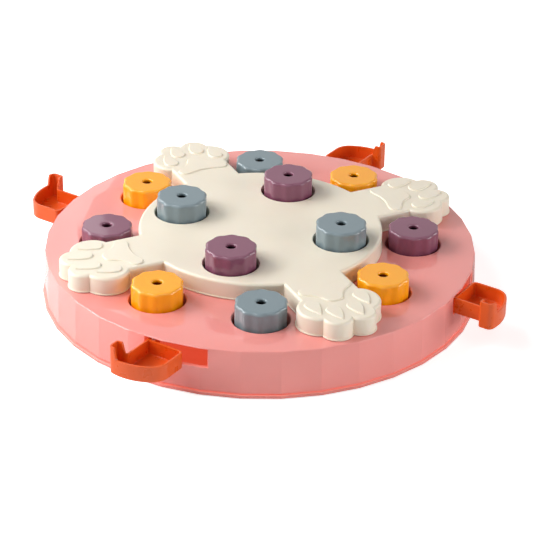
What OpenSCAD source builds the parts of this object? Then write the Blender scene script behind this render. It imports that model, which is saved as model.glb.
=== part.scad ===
// Treat puzzle for dogs: a round faceted base with lift-out plugs, a turntable
// with four paw arms, and four trays that swing out of the side wall.
// Frame: origin at the centre of the base on the floor, +Z up, front towards -Y.

/* [Base] */
// Corner-to-corner width of the base at its deck
base_w = 280.6; // [276:0.2:296]
// Height of the deck's top face above the floor
deck_z = 32.2; // [30:0.1:36]
// Thickness of the side wall at the deck
wall_t = 2.2; // [1.8:0.1:3]
// Thickness of the deck
deck_t = 1.3; // [1.1:0.1:2]
// Draft of the side wall in degrees
wall_draft = 2.2; // [1:0.1:3]
// Bevel along the deck's outer edge
deck_bevel = 0.5; // [0.3:0.1:0.8]
// How far the bottom plate's rim stands out from the foot of the wall
rim_out = 1.3; // [0.6:0.1:2.5]
// Thickness of the bottom plate
plate_t = 2; // [1.8:0.1:3]
// Height of the dark joint line between the plate and the wall
joint_line = 0.5; // [0.3:0.1:0.8]

/* [Wells and plugs] */
// Distance from the deck's corners in to the centres of its wells
rim_inset = 40.3; // [37.5:0.1:41.3]
// Distance from the edge of the turntable's disc in to the centres of its wells
disc_well_inset = 24.4; // [22.4:0.1:26.4]
// Radius of a well
well_r = 18; // [17.4:0.1:18.6]
// Wall thickness of a well's cup
well_wall = 1.6; // [1.2:0.1:1.9]
// Floor thickness of a deck well
well_floor = 1.6; // [1.2:0.1:2.4]
// Height of a plug
plug_h = 22.4; // [21:0.1:24]
// How far a seated plug stands above the face around it
plug_proud = 12; // [11.4:0.1:14]
// Radial clearance between a plug's crests and its well
plug_gap = 1.3; // [1.1:0.1:2]
// Number of flutes round a plug
plug_flutes = 10; // [8:1:12]
// Depth of a flute
flute_depth = 0.8; // [0.4:0.1:1]
// Radius of a flute's hollow
flute_r = 10.2; // [6:0.2:16]
// Wall thickness of a plug behind the flutes
plug_wall = 1.7; // [1.2:0.1:2.2]
// Thickness of a plug's top
plug_top = 2.4; // [1.8:0.1:3]
// Radius of the scent hole through a plug's top
scent_r = 3.1; // [2.4:0.1:3.6]
// Radius of a plug's rounded top edge
plug_edge = 1.8; // [1:0.1:2.2]

/* [Turntable] */
// Clear width between the turntable's disc and the wells in the deck
disc_gap = 2.6; // [2.2:0.1:5]
// Floor thickness under the turntable's wells
disc_floor = 1.4; // [1.2:0.1:2.4]
// Wall and top thickness of the turntable's shell
disc_wall = 2; // [1.6:0.1:2.6]
// Radius of the rounded top edge
disc_edge = 1.9; // [1:0.1:2.2]
// Height of the thin bead round the foot
bead_h = 1; // [0.6:0.1:1.6]
// How far the bead stands out
bead_out = 0.5; // [0.3:0.1:0.7]
// Width of an arm
arm_w = 40.4; // [37:0.2:41]
// Distance from a paw's outermost toe to the deck's edge
paw_margin = 4.4; // [3:0.1:8]
// Radius of an outer toe
outer_toe_r = 9.6; // [9:0.1:10]
// Radius of an inner toe
inner_toe_r = 14.4; // [13.8:0.1:14.8]
// Height of the raised pads on a paw
pad_rise = 0.9; // [0.5:0.1:1.4]
// Radius of the turntable's hub
hub_r = 11; // [9:0.1:13]
// Radial running clearance of the hub in its tube
hub_gap = 0.08; // [0.04:0.01:0.1]
// Height of the hub's lower end above the floor
hub_end_z = 13; // [11:0.1:15]
// Radius of the retaining washer
washer_r = 17; // [16.4:0.1:19]
// Thickness of the retaining washer
washer_t = 1.5; // [1:0.1:2]

/* [Swing trays] */
// Height of a tray
tray_h = 10.7; // [10:0.1:11.8]
// Wall and floor thickness of a tray
tray_wall = 1.5; // [1.2:0.1:1.6]
// Radius of a tray's outer wall about its hinge pin
tray_reach = 34.1; // [33:0.1:34.5]
// Width of a tray across the hinge pin's side
tray_side = 23.8; // [22:0.1:24.6]
// Radius of the tray's rounded outer corner
tray_corner = 12; // [8:0.5:14]
// Radius of the tray's rounded corner beside the slot
tray_back_corner = 3.4; // [2:0.1:4]
// How far the pull hook stands above the tray's rim
hook_rise = 7.4; // [4:0.1:9]
// How far the pull hook stands out from the tray's front wall
hook_out = 6.6; // [5:0.1:7.2]
// Radius of a hinge pin
pin_r = 1.8; // [1.5:0.05:1.9]
// Radial running clearance of a tray on its pin
pin_gap = 0.08; // [0.04:0.01:0.1]
// Angle that a tray turns through from open to shut, in degrees
tray_swing = 101; // [80:1:101]

/* [Screws and feet] */
// Radius of a screw's shank
screw_r = 1.45; // [1.2:0.05:1.6]
// Radius of a screw's head
screw_head_r = 2.9; // [2.4:0.1:3.2]
// Radius of a rubber foot
foot_r = 9; // [7:0.5:11]
// How far the feet stand below the bottom plate
foot_proud = 0.6; // [0.4:0.1:1]

/* [Hidden] */
$fn = 64;

// Shared clearances and small sizes
eps = 0.02;
face_gap = 0.3;
facets = 36;
quarters = 4;
quarter = 360 / quarters;
facet_angle = 360 / facets;
cutter = 60;

// Places round the base, as angles of the first of four
side_well_angle = 0;
corner_well_angle = 50;
disc_well_angle = 70;
paw_angle = 25;
slot_angle = 68;

// A plug's radius over its crests
plug_r = well_r - plug_gap;

// Heights
plate_z = foot_proud;
plate_top = plate_z + plate_t;
shell_z = plate_top + joint_line;
deck_under = deck_z - deck_t;
well_depth = plug_h - plug_proud + face_gap;
well_floor_z = deck_z - well_depth;
disc_z = deck_z + face_gap;
disc_h = well_depth + disc_floor;
disc_top = disc_z + disc_h;
disc_well_floor_z = disc_top - well_depth;

// Widths of the base
deck_corner_r = base_w / 2;
deck_apothem = deck_corner_r * cos(facet_angle / 2);
foot_corner_r = deck_corner_r + (deck_z - shell_z) * tan(wall_draft) / cos(facet_angle / 2);
plate_corner_r = foot_corner_r + rim_out;
cavity_corner_r = deck_corner_r - wall_t;
well_bevel = 0.6;
scent_lip = 1;
plug_turn = 16;
lip_gap = 0.8;
lip_t = 1.6;
lip_h = 3.4;

// Pitch circles and the turntable's disc, in from the deck's edge
rim_pitch_r = deck_corner_r - rim_inset;
disc_r = rim_pitch_r - well_r - disc_gap;
disc_pitch_r = disc_r - disc_well_inset;

// Treat dishes in the deck under the paws
dish_r = 15;
dish_depth = 7;

// Screw bosses between the deck and the bottom plate
boss_r = 4;
boss_inset = 2.2;
outer_boss_r = cavity_corner_r - boss_r - lip_gap - lip_t - boss_inset;
inner_boss_inset = 18;
screw_l = 12;
screw_clear = 0.2;
pilot_gap = 0.05;
pilot_spare = 1;
head_h = 1.2;
head_sink = 0.1;
screw_seat_z = plate_z + head_sink + head_h;
drive_w = 0.8;
drive_l = 3.5;
drive_depth = 0.6;

// Ribs under the deck
rib_t = 1.6;
rib_h = 5;
rib_ring_gap = 12.4;
rib_ring_r = rim_pitch_r - well_r - well_wall - rib_ring_gap;
inner_boss_r = rib_ring_r - inner_boss_inset;
rib_lift = 1;
ribs = 8;
tube_wall = 3.2;

// Feet, let into the bottom plate
foot_sink = 1;
foot_t = foot_proud + foot_sink;
foot_fit = 0.1;
foot_inset = 22.3;
foot_pitch_r = deck_corner_r - foot_inset;
foot_angle = 70;
foot_groove_r = 0.35;
foot_grooves = [3.2, 6.2];

// Tray: local axes have their origin on the hinge pin, +X along the front wall
// and +Y across the tray. Positions on the base are radial and tangential.
pin_inset = 3.8;
pin_side = 14.5;
pin_radial = deck_apothem - pin_inset;
tray_front_y = -3.1;
tray_back_x = 2.3;
tray_rest_angle = -12.2;
tray_rim_gap = 1.1;
tray_sill_gap = 0.4;
tray_z = deck_under - tray_rim_gap - tray_h;
slot_z = tray_z - tray_sill_gap;
slot_lintel = 0.8;
barrel_r = 3.2;
barrel_side_gap = 2.4;
barrel_web = 2.9;
pocket_gap = 1.4;
pocket_t = 1.4;
pocket_hinge_gap = 3;
slot_cut = 9;
slot_gap = 2.2;
slot_start = asin((pin_side + barrel_r + barrel_side_gap) / deck_apothem);
slot_end = asin((tray_reach + slot_gap - pin_side) / deck_apothem);
pin_fit = 0.03;
pin_cover = 0.7;
pin_hole_z = deck_z - pin_cover;
pin_end_gap = 0.2;
hook_w = 10.2;
hook_x = tray_reach - hook_w;
hook_setback = 1.1;
hook_corner = 1.8;

// Paw outline, along and across the arm
paw_reach = deck_corner_r - paw_margin;
outer_toe = [paw_reach - outer_toe_r, 7.9];
inner_toe_inset = 23.6;
inner_toe = [paw_reach - inner_toe_inset, 13];
dish_inset = 27.9;
dish_pitch_r = paw_reach - dish_inset;
arm_root_gap = 1.1;
arm_root = disc_r + arm_root_gap;

// Raised pads, along and across the arm
toe_pad_r = 4.7;
toe_pad_l = 12.4;
outer_pad_inset = 16.7;
outer_pad = [paw_reach - outer_pad_inset, 7];
inner_pad_inset = 27.1;
inner_pad = [paw_reach - inner_pad_inset, 16.6];
palm_lobe_r = 4.6;
palm_heel_inset = 43.4;
palm_heel = [paw_reach - palm_heel_inset, 13];
palm_front_inset = 30.6;
palm_front = [paw_reach - palm_front_inset, 1.4];
heel_scoop_r = 30;
heel_scoop = 2.6;
side_scoop_r = 16;
side_scoop = 1.8;

// Points of a regular polygon with a flat face square to +X
function ngon(r, n) = [for (i = [0:n - 1]) r * [cos((i + 0.5) * 360 / n), sin((i + 0.5) * 360 / n)]];

// Four copies, a quarter turn apart
module four_times(angle) {
    for (i = [0:quarters - 1])
        rotate([0, 0, angle + i * quarter])
            children();
}

// A child placed on a pitch circle, four times
module on_pitch(r, angle) {
    four_times(angle)
        translate([r, 0, 0])
            children();
}

// Everything outside planes that lean in by tilt, one for each facet
module facet_cuts(apothem, z, tilt) {
    for (i = [0:facets - 1])
        rotate([0, 0, i * facet_angle])
            translate([apothem, 0, z])
                rotate([0, -tilt, 0])
                    translate([0, -cutter / 2, -cutter])
                        cube([cutter, cutter, 2 * cutter]);
}

// A straight round hole or cup space with a small bevelled mouth
module well_cut(floor_z, mouth_z, r) {
    translate([0, 0, floor_z])
        cylinder(r = r, h = mouth_z - floor_z + 1);
    translate([0, 0, mouth_z - well_bevel])
        cylinder(r1 = r, r2 = r + well_bevel + eps, h = well_bevel + eps);
}

// ---------------------------------------------------------------- base

module cup(floor_z, floor_t, r) {
    translate([0, 0, floor_z - floor_t])
        cylinder(r = r + well_wall, h = deck_under - floor_z + floor_t + eps);
}

// Side wall and deck, open below, with the four tray slots
module shell_walls() {
    difference() {
        translate([0, 0, shell_z])
            linear_extrude(deck_z - shell_z)
                polygon(ngon(foot_corner_r + 1, facets));
        facet_cuts(deck_apothem, deck_z, wall_draft);
        facet_cuts(deck_apothem - deck_bevel, deck_z, 45);
        translate([0, 0, shell_z - 1])
            linear_extrude(deck_under - shell_z + 1)
                polygon(ngon(cavity_corner_r, facets));
        four_times(slot_angle)
            tray_slot();
    }
}

// Slot in the wall for one tray, from the hinge side to the arc's far side
module tray_slot() {
    inner = deck_apothem - slot_cut;
    outer = deck_corner_r + slot_cut;
    translate([0, 0, slot_z])
        linear_extrude(deck_z - slot_lintel - slot_z)
            polygon([
                inner * [cos(slot_start), -sin(slot_start)],
                outer * [cos(slot_start), -sin(slot_start)],
                outer * [cos(slot_end), sin(slot_end)],
                inner * [cos(slot_end), sin(slot_end)]
            ]);
}

// Ribs hanging round the space that a shut tray fills, clear of its hinge
module pocket_rib() {
    translate([0, 0, slot_z])
        linear_extrude(deck_under - slot_z + eps)
            intersection() {
                difference() {
                    at_pin(tray_swing)
                        tray_plan(-pocket_gap - pocket_t);
                    at_pin(tray_swing)
                        tray_plan(-pocket_gap);
                    translate([pin_radial, -pin_side])
                        circle(r = barrel_r + pocket_hinge_gap);
                }
                translate([0, -deck_apothem])
                    square([deck_apothem - wall_t, 2 * deck_apothem]);
            }
}

// Boss that carries a hinge pin below its tray
module pin_boss() {
    translate([pin_radial, -pin_side, shell_z])
        cylinder(r = barrel_r, h = tray_z - face_gap - shell_z);
}

module deck_ribs() {
    translate([0, 0, deck_under - rib_h])
        difference() {
            cylinder(r = rib_ring_r + rib_t / 2, h = rib_h + eps);
            translate([0, 0, -1])
                cylinder(r = rib_ring_r - rib_t / 2, h = rib_h + 2);
        }
    for (i = [0:ribs - 1])
        rotate([0, 0, (i + 0.5) * 360 / ribs])
            translate([hub_r, -rib_t / 2, deck_under - rib_h])
                cube([rib_ring_r - hub_r, rib_t, rib_h + eps]);
}

module base_solid() {
    shell_walls();
    on_pitch(rim_pitch_r, side_well_angle)
        cup(well_floor_z, well_floor, well_r);
    on_pitch(rim_pitch_r, corner_well_angle)
        cup(well_floor_z, well_floor, well_r);
    on_pitch(dish_pitch_r, paw_angle)
        cup(deck_z - dish_depth, well_floor, dish_r);
    on_pitch(outer_boss_r, paw_angle)
        screw_boss();
    on_pitch(inner_boss_r, 0)
        screw_boss();
    four_times(slot_angle) {
        pocket_rib();
        pin_boss();
    }
    deck_ribs();
    translate([0, 0, hub_end_z + face_gap])
        cylinder(r = hub_r + hub_gap + tube_wall, h = deck_under - hub_end_z - face_gap + eps);
}

module screw_boss() {
    translate([0, 0, plate_top])
        cylinder(r = boss_r, h = deck_under - plate_top + eps);
}

module base_shell() {
    color("#f2aaa6")
        difference() {
            base_solid();
            on_pitch(rim_pitch_r, side_well_angle)
                well_cut(well_floor_z, deck_z, well_r);
            on_pitch(rim_pitch_r, corner_well_angle)
                well_cut(well_floor_z, deck_z, well_r);
            on_pitch(dish_pitch_r, paw_angle)
                well_cut(deck_z - dish_depth, deck_z, dish_r);
            on_pitch(outer_boss_r, paw_angle)
                pilot_hole();
            on_pitch(inner_boss_r, 0)
                pilot_hole();
            four_times(slot_angle)
                translate([pin_radial, -pin_side, shell_z - 1])
                    cylinder(r = pin_r + pin_fit, h = pin_hole_z - shell_z + 1);
            cylinder(r = hub_r + hub_gap, h = deck_z + 1);
        }
}

module pilot_hole() {
    translate([0, 0, plate_top - 1])
        cylinder(r = screw_r + pilot_gap, h = screw_l + pilot_spare + 1);
}

// ---------------------------------------------------------------- bottom plate

module bottom_plate() {
    color("#ea9f98")
        difference() {
            union() {
                translate([0, 0, plate_z])
                    linear_extrude(plate_t)
                        polygon(ngon(plate_corner_r, facets));
                locating_lip();
            }
            on_pitch(outer_boss_r, paw_angle)
                screw_recess();
            on_pitch(inner_boss_r, 0)
                screw_recess();
            on_pitch(foot_pitch_r, foot_angle)
                translate([0, 0, -1])
                    cylinder(r = foot_r, h = foot_t + 1);
        }
}

// Upstand that centres the plate in the shell, cut away round the pin bosses
module locating_lip() {
    translate([0, 0, plate_top - eps])
        linear_extrude(lip_h)
            difference() {
                polygon(ngon(cavity_corner_r - lip_gap, facets));
                polygon(ngon(cavity_corner_r - lip_gap - lip_t, facets));
                four_times(slot_angle)
                    translate([pin_radial, -pin_side])
                        circle(r = barrel_r + face_gap * 2);
            }
}

module screw_recess() {
    cylinder(r = screw_r + screw_clear, h = plate_top + 1);
    cylinder(r = screw_head_r + screw_clear, h = screw_seat_z);
}

// Screw pointing up, its head's bearing face at height z, with a cross drive
module screw(z) {
    translate([0, 0, z - eps])
        cylinder(r = screw_r, h = screw_l + eps);
    translate([0, 0, z - head_h])
        difference() {
            cylinder(r = screw_head_r, h = head_h);
            for (a = [0, 90])
                rotate([0, 0, a])
                    translate([-drive_l / 2, -drive_w / 2, -1])
                        cube([drive_l, drive_w, drive_depth + 1]);
        }
}

module bottom_screws() {
    color("#b9bcc0") {
        on_pitch(outer_boss_r, paw_angle)
            screw(screw_seat_z);
        on_pitch(inner_boss_r, 0)
            screw(screw_seat_z);
    }
}

module grip_feet() {
    color("#dcdcd8")
        on_pitch(foot_pitch_r, foot_angle)
            difference() {
                cylinder(r = foot_r - foot_fit, h = foot_t);
                for (r = foot_grooves)
                    rotate_extrude()
                        translate([r, 0])
                            circle(r = foot_groove_r);
            }
}

// ---------------------------------------------------------------- hinge pins

module tray_hinge_pins() {
    color("#c9ccd0")
        four_times(slot_angle)
            translate([pin_radial, -pin_side, plate_top])
                cylinder(r = pin_r, h = pin_hole_z - pin_end_gap - plate_top);
}

// ---------------------------------------------------------------- plugs

// Rounded puck that trims the plug's top edge
module plug_envelope() {
    rotate_extrude()
        union() {
            square([plug_r, plug_h - plug_edge]);
            square([plug_r - plug_edge, plug_h]);
            translate([plug_r - plug_edge, plug_h - plug_edge])
                intersection() {
                    circle(r = plug_edge);
                    square(plug_edge);
                }
        }
}

// Fluted cap, open below, standing on z = 0
module plug() {
    inner_r = plug_r - flute_depth - plug_wall;
    difference() {
        plug_envelope();
        for (i = [0:plug_flutes - 1])
            rotate([0, 0, (i + 0.5) * 360 / plug_flutes])
                translate([plug_r - flute_depth + flute_r, 0, -1])
                    cylinder(r = flute_r, h = plug_h + 2);
        translate([0, 0, -1])
            cylinder(r = inner_r, h = plug_h - plug_top + 1);
        cylinder(r = scent_r, h = plug_h + 1);
        translate([0, 0, plug_h - scent_lip])
            cylinder(r1 = scent_r, r2 = scent_r + scent_lip, h = scent_lip + eps);
    }
}

// A plug in its well; all plugs lie with their flutes the same way round
module seated_plug(pitch_r, angle, floor_z) {
    translate([pitch_r * cos(angle), pitch_r * sin(angle), floor_z + face_gap])
        rotate([0, 0, plug_turn])
            plug();
}

module rim_plug_back() {
    color("#8c9ea4") seated_plug(rim_pitch_r, side_well_angle + quarter, well_floor_z);
}

module rim_plug_right() {
    color("#95647c") seated_plug(rim_pitch_r, side_well_angle, well_floor_z);
}

module rim_plug_front() {
    color("#8c9ea4") seated_plug(rim_pitch_r, side_well_angle - quarter, well_floor_z);
}

module rim_plug_left() {
    color("#95647c") seated_plug(rim_pitch_r, side_well_angle + 2 * quarter, well_floor_z);
}

module rim_plug_back_right() {
    color("#fdb03a") seated_plug(rim_pitch_r, corner_well_angle, well_floor_z);
}

module rim_plug_front_right() {
    color("#fdb03a") seated_plug(rim_pitch_r, corner_well_angle - quarter, well_floor_z);
}

module rim_plug_front_left() {
    color("#fdb03a") seated_plug(rim_pitch_r, corner_well_angle - 2 * quarter, well_floor_z);
}

module rim_plug_back_left() {
    color("#fdb03a") seated_plug(rim_pitch_r, corner_well_angle + quarter, well_floor_z);
}

module disc_plug_back() {
    color("#95647c") seated_plug(disc_pitch_r, disc_well_angle, disc_well_floor_z);
}

module disc_plug_right() {
    color("#8c9ea4") seated_plug(disc_pitch_r, disc_well_angle - quarter, disc_well_floor_z);
}

module disc_plug_front() {
    color("#95647c") seated_plug(disc_pitch_r, disc_well_angle - 2 * quarter, disc_well_floor_z);
}

module disc_plug_left() {
    color("#8c9ea4") seated_plug(disc_pitch_r, disc_well_angle + quarter, disc_well_floor_z);
}

// ---------------------------------------------------------------- turntable

// Half section of the turntable's edge: rounded above, beaded at the foot
module edge_profile(half_w) {
    square([half_w, disc_h - disc_edge]);
    square([half_w - disc_edge, disc_h]);
    translate([half_w - disc_edge, disc_h - disc_edge])
        intersection() {
            circle(r = disc_edge);
            square(disc_edge);
        }
    square([half_w + bead_out, bead_h]);
}

module puck(r) {
    rotate_extrude()
        edge_profile(r);
}

module arm_bar(length) {
    rotate([90, 0, 90])
        linear_extrude(length)
            for (side = [0, 1])
                mirror([side, 0])
                    edge_profile(arm_w / 2);
}

// One closed arm with its paw along +X, from the stub on the disc outwards
module arm_and_paw() {
    translate([arm_root, 0, 0])
        arm_bar(inner_toe[0] - arm_root);
    for (side = [-1, 1]) {
        translate([inner_toe[0], side * inner_toe[1], 0])
            puck(inner_toe_r);
        translate([outer_toe[0], side * outer_toe[1], 0])
            puck(outer_toe_r);
    }
    between_toes();
}

// Middle of the paw, its corners on the four toes' centres
module between_toes() {
    linear_extrude(disc_h)
        polygon([
            [inner_toe[0] - eps, -inner_toe[1]],
            [outer_toe[0], -outer_toe[1]],
            outer_toe,
            [inner_toe[0] - eps, inner_toe[1]]
        ]);
}

// Drop-shaped pad with its point towards the rim
module toe_pad() {
    touch = acos(toe_pad_r / toe_pad_l);
    linear_extrude(pad_rise + 1) {
        circle(r = toe_pad_r);
        polygon([
            [toe_pad_l, 0],
            toe_pad_r * [cos(touch), sin(touch)],
            toe_pad_r * [cos(touch), -sin(touch)]
        ]);
    }
}

// Three-lobed pad: two lobes at the heel, a broad one in front, hollow between
module palm_pad() {
    r = palm_lobe_r;
    side = palm_front - palm_heel;
    out = [-side[1], side[0]] / norm(side);
    side_mid = (palm_front + palm_heel) / 2 + (r - side_scoop + side_scoop_r) * [out[0], out[1]];
    linear_extrude(pad_rise + 1) {
        for (m = [0, 1])
            mirror([0, m]) {
                translate(palm_heel)
                    circle(r = r);
                translate(palm_front)
                    circle(r = r);
            }
        difference() {
            polygon([
                [palm_heel[0] - r, -palm_heel[1]],
                [palm_heel[0], -palm_heel[1] - r / 2],
                [palm_front[0] + r / 2, -palm_front[1] - r / 2],
                [palm_front[0] + r, 0],
                [palm_front[0] + r / 2, palm_front[1] + r / 2],
                [palm_heel[0], palm_heel[1] + r / 2],
                [palm_heel[0] - r, palm_heel[1]]
            ]);
            translate([palm_heel[0] - r + heel_scoop - heel_scoop_r, 0])
                circle(r = heel_scoop_r);
            for (m = [0, 1])
                mirror([0, m])
                    translate(side_mid)
                        circle(r = side_scoop_r);
        }
    }
}

module paw_pads() {
    translate([0, 0, disc_h - 1]) {
        for (side = [-1, 1]) {
            translate([inner_pad[0], side * inner_pad[1], 0])
                toe_pad();
            translate([outer_pad[0], side * outer_pad[1], 0])
                toe_pad();
        }
        palm_pad();
    }
}

// Ribs across the hollow underside, from the hub to the disc's wall
module disc_ribs() {
    for (i = [0:ribs - 1])
        rotate([0, 0, paw_angle + i * 360 / ribs])
            translate([0, -rib_t / 2, rib_lift])
                cube([disc_r - disc_wall / 2, rib_t, disc_h - rib_lift - disc_wall / 2]);
}

module turntable() {
    hub_h = disc_z - hub_end_z;
    color("#f1ece1")
        translate([0, 0, disc_z])
            difference() {
                union() {
                    difference() {
                        union() {
                            puck(disc_r);
                            four_times(paw_angle)
                                arm_bar(arm_root);
                        }
                        translate([0, 0, -1])
                            cylinder(r = disc_r - disc_wall, h = disc_h - disc_wall + 1);
                    }
                    on_pitch(disc_pitch_r, disc_well_angle)
                        cylinder(r = well_r + well_wall, h = disc_h - disc_wall / 2);
                    disc_ribs();
                    translate([0, 0, -hub_h])
                        cylinder(r = hub_r, h = hub_h + disc_h - disc_wall / 2);
                }
                on_pitch(disc_pitch_r, disc_well_angle)
                    well_cut(disc_floor, disc_h, well_r);
                translate([0, 0, -hub_h - 1])
                    cylinder(r = screw_r + pilot_gap, h = screw_l + pilot_spare + 1);
            }
}

// One arm at its angle on the turntable, its root face against the disc's stub
module paw_arm(angle) {
    color("#f1ece1")
        rotate([0, 0, angle])
            translate([0, 0, disc_z]) {
                arm_and_paw();
                paw_pads();
            }
}

module paw_arm_back_right() {
    paw_arm(paw_angle);
}

module paw_arm_back_left() {
    paw_arm(paw_angle + quarter);
}

module paw_arm_front_left() {
    paw_arm(paw_angle + 2 * quarter);
}

module paw_arm_front_right() {
    paw_arm(paw_angle - quarter);
}

module turntable_washer() {
    color("#d9d7cf")
        translate([0, 0, hub_end_z - washer_t])
            difference() {
                cylinder(r = washer_r, h = washer_t);
                translate([0, 0, -1])
                    cylinder(r = screw_r + screw_clear, h = washer_t + 2);
            }
}

module turntable_screw() {
    color("#b9bcc0")
        screw(hub_end_z - washer_t);
}

// ---------------------------------------------------------------- swing trays

// Carries a flat shape from the tray's local axes to its hinge on the base
module at_pin(turn) {
    translate([pin_radial, -pin_side])
        rotate([0, 0, tray_rest_angle + turn])
            children();
}

// Tray outline, drawn in from the outer faces by inset
module tray_plan(inset) {
    reach = tray_reach - inset;
    corner = tray_corner - inset;
    back_corner = tray_back_corner - inset;
    side_y = tray_side - inset;
    centre_r = reach - corner;
    corner_a = asin((side_y - corner) / centre_r);
    corner_x = centre_r * cos(corner_a);
    intersection() {
        union() {
            square([corner_x, side_y]);
            translate([0, tray_front_y + inset])
                square([reach, -tray_front_y - inset]);
            polygon([[0, 0], [2 * reach, 0], 2 * reach * [cos(corner_a), sin(corner_a)]]);
            translate(centre_r * [cos(corner_a), sin(corner_a)])
                circle(r = corner);
        }
        circle(r = reach);
        union() {
            translate([tray_back_x + inset, tray_front_y + inset])
                square([2 * reach, side_y - back_corner - tray_front_y - inset]);
            translate([tray_back_x + inset + back_corner, tray_front_y + inset])
                square(2 * reach);
            translate([tray_back_x + inset + back_corner, side_y - back_corner])
                circle(r = back_corner);
        }
    }
}

// Pull hook's outline, drawn in from the outer faces by inset
module hook_plan(inset) {
    low_y = tray_front_y - hook_out + inset;
    corner = hook_corner - inset;
    intersection() {
        circle(r = tray_reach - inset);
        union() {
            translate([hook_x + inset + corner, low_y])
                square([tray_reach - hook_x - 2 * corner - 2 * inset, hook_out + tray_wall + inset]);
            translate([hook_x + inset, low_y + corner])
                square([tray_reach, hook_out + tray_wall + inset - corner]);
            translate([hook_x + inset + corner, low_y + corner])
                circle(r = corner);
        }
    }
}

module hinge_barrel() {
    cylinder(r = barrel_r, h = tray_h);
    translate([0, tray_front_y, 0])
        cube([tray_back_x + tray_wall, barrel_web - tray_front_y, tray_h]);
}

// One tray on its own axes, bored for its pin
module tray_body() {
    hook_top = tray_h + hook_rise;
    difference() {
        union() {
            linear_extrude(tray_h) {
                tray_plan(0);
                hook_plan(0);
            }
            linear_extrude(hook_top)
                intersection() {
                    hook_plan(0);
                    translate([hook_x, tray_front_y - hook_out - 1])
                        square([2 * tray_reach, hook_out + 1 - hook_setback]);
                }
            hinge_barrel();
        }
        translate([0, 0, tray_wall])
            linear_extrude(tray_h) {
                tray_plan(tray_wall);
            }
        translate([0, 0, tray_wall])
            linear_extrude(hook_top)
                hook_plan(tray_wall);
        translate([0, 0, -1])
            cylinder(r = pin_r + pin_gap, h = tray_h + 2);
    }
}

module tray_at(angle) {
    color("#f2712b")
        rotate([0, 0, angle])
            translate([pin_radial, -pin_side, tray_z])
                rotate([0, 0, tray_rest_angle])
                    tray_body();
}

module tray_back() {
    tray_at(slot_angle);
}

module tray_right() {
    tray_at(slot_angle - quarter);
}

module tray_front() {
    tray_at(slot_angle - 2 * quarter);
}

module tray_left() {
    tray_at(slot_angle + quarter);
}

base_shell();
bottom_plate();
bottom_screws();
grip_feet();
tray_hinge_pins();
turntable();
paw_arm_back_right();
paw_arm_back_left();
paw_arm_front_left();
paw_arm_front_right();
turntable_washer();
turntable_screw();
rim_plug_back();
rim_plug_right();
rim_plug_front();
rim_plug_left();
rim_plug_back_right();
rim_plug_front_right();
rim_plug_front_left();
rim_plug_back_left();
disc_plug_back();
disc_plug_right();
disc_plug_front();
disc_plug_left();
tray_front();
tray_right();
tray_back();
tray_left();
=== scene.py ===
import math

import bmesh
import bpy
from mathutils import Matrix, Vector
from mathutils.geometry import intersect_point_line

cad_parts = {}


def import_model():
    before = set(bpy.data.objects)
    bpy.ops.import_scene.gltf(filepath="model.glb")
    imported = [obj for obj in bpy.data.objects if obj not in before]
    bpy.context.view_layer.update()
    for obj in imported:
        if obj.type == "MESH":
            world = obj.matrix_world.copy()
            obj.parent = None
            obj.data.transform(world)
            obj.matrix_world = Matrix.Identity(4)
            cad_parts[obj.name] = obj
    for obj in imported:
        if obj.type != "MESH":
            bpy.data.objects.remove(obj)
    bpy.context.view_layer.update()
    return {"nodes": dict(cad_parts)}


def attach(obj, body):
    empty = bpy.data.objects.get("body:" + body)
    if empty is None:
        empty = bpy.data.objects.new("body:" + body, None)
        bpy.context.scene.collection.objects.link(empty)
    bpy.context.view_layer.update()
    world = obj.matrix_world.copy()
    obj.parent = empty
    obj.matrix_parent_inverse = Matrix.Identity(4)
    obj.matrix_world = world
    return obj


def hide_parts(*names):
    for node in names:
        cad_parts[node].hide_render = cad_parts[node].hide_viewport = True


# Looks for a dog's treat puzzle: a glossy pink base with lift-out plugs, a cream
# turntable with paw arms, and orange trays that swing out of the side wall.
# Sizes are in millimetres and turned to metres where a mesh is made.

MM = 0.001

# The sizes below are the part's own, as its solids have them.

# Deck, side wall and the hollow between deck and bottom plate
DECK_Z = 32.2
DECK_UNDER = DECK_Z - 1.3
DECK_APOTHEM = 140.3 * math.cos(math.radians(5))
PLATE_TOP = 2.6
WALL_R = 137.5
CAVITY_R = 138.4
WELL_R = 18.0
RIM_PITCH_R = 100.0
DISH_PITCH_R = 108.0
DISH_R = 15.0

# Plugs: the skin with its flutes, the hollow inside and the scent hole in the top
PLUG_H = 22.4
PLUG_PROUD = 12.0
PLUG_R = 16.7
PLUG_EDGE = 1.8
PLUG_FLUTES = 10
FLUTE_DEPTH = 0.8
PLUG_INNER_R = 14.2
PLUG_TOP = 2.4
SCENT_R = 3.1
SCENT_LIP = 1.0

# Turntable: disc with its bead and wells, and arms with their paws
FACE_GAP = 0.3
WELL_DEPTH = PLUG_H - PLUG_PROUD + FACE_GAP
DISC_R = 79.4
DISC_EDGE = 1.9
DISC_FLOOR = 1.4
DISC_Z = DECK_Z + FACE_GAP
DISC_H = WELL_DEPTH + DISC_FLOOR
DISC_TOP = DISC_Z + DISC_H
DISC_PITCH_R = 55.0
DISC_WELL_ANGLE = 70.0
BEAD_H = 1.0
BEAD_OUT = 0.5
ARM_W = 40.4
PAW_ANGLE = 25.0
PAW_REACH = 135.9
OUTER_TOE_R = 9.6
OUTER_TOE = (PAW_REACH - OUTER_TOE_R, 7.9)
INNER_TOE_R = 14.4
INNER_TOE = (PAW_REACH - 23.6, 13.0)
PAD_RISE = 0.9
TOE_PADS = ((PAW_REACH - 16.7, 7.0), (PAW_REACH - 27.1, 16.6))
PALM_HEEL = (PAW_REACH - 43.4, 13.0)
PALM_FRONT = (PAW_REACH - 30.6, 1.4)

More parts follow.
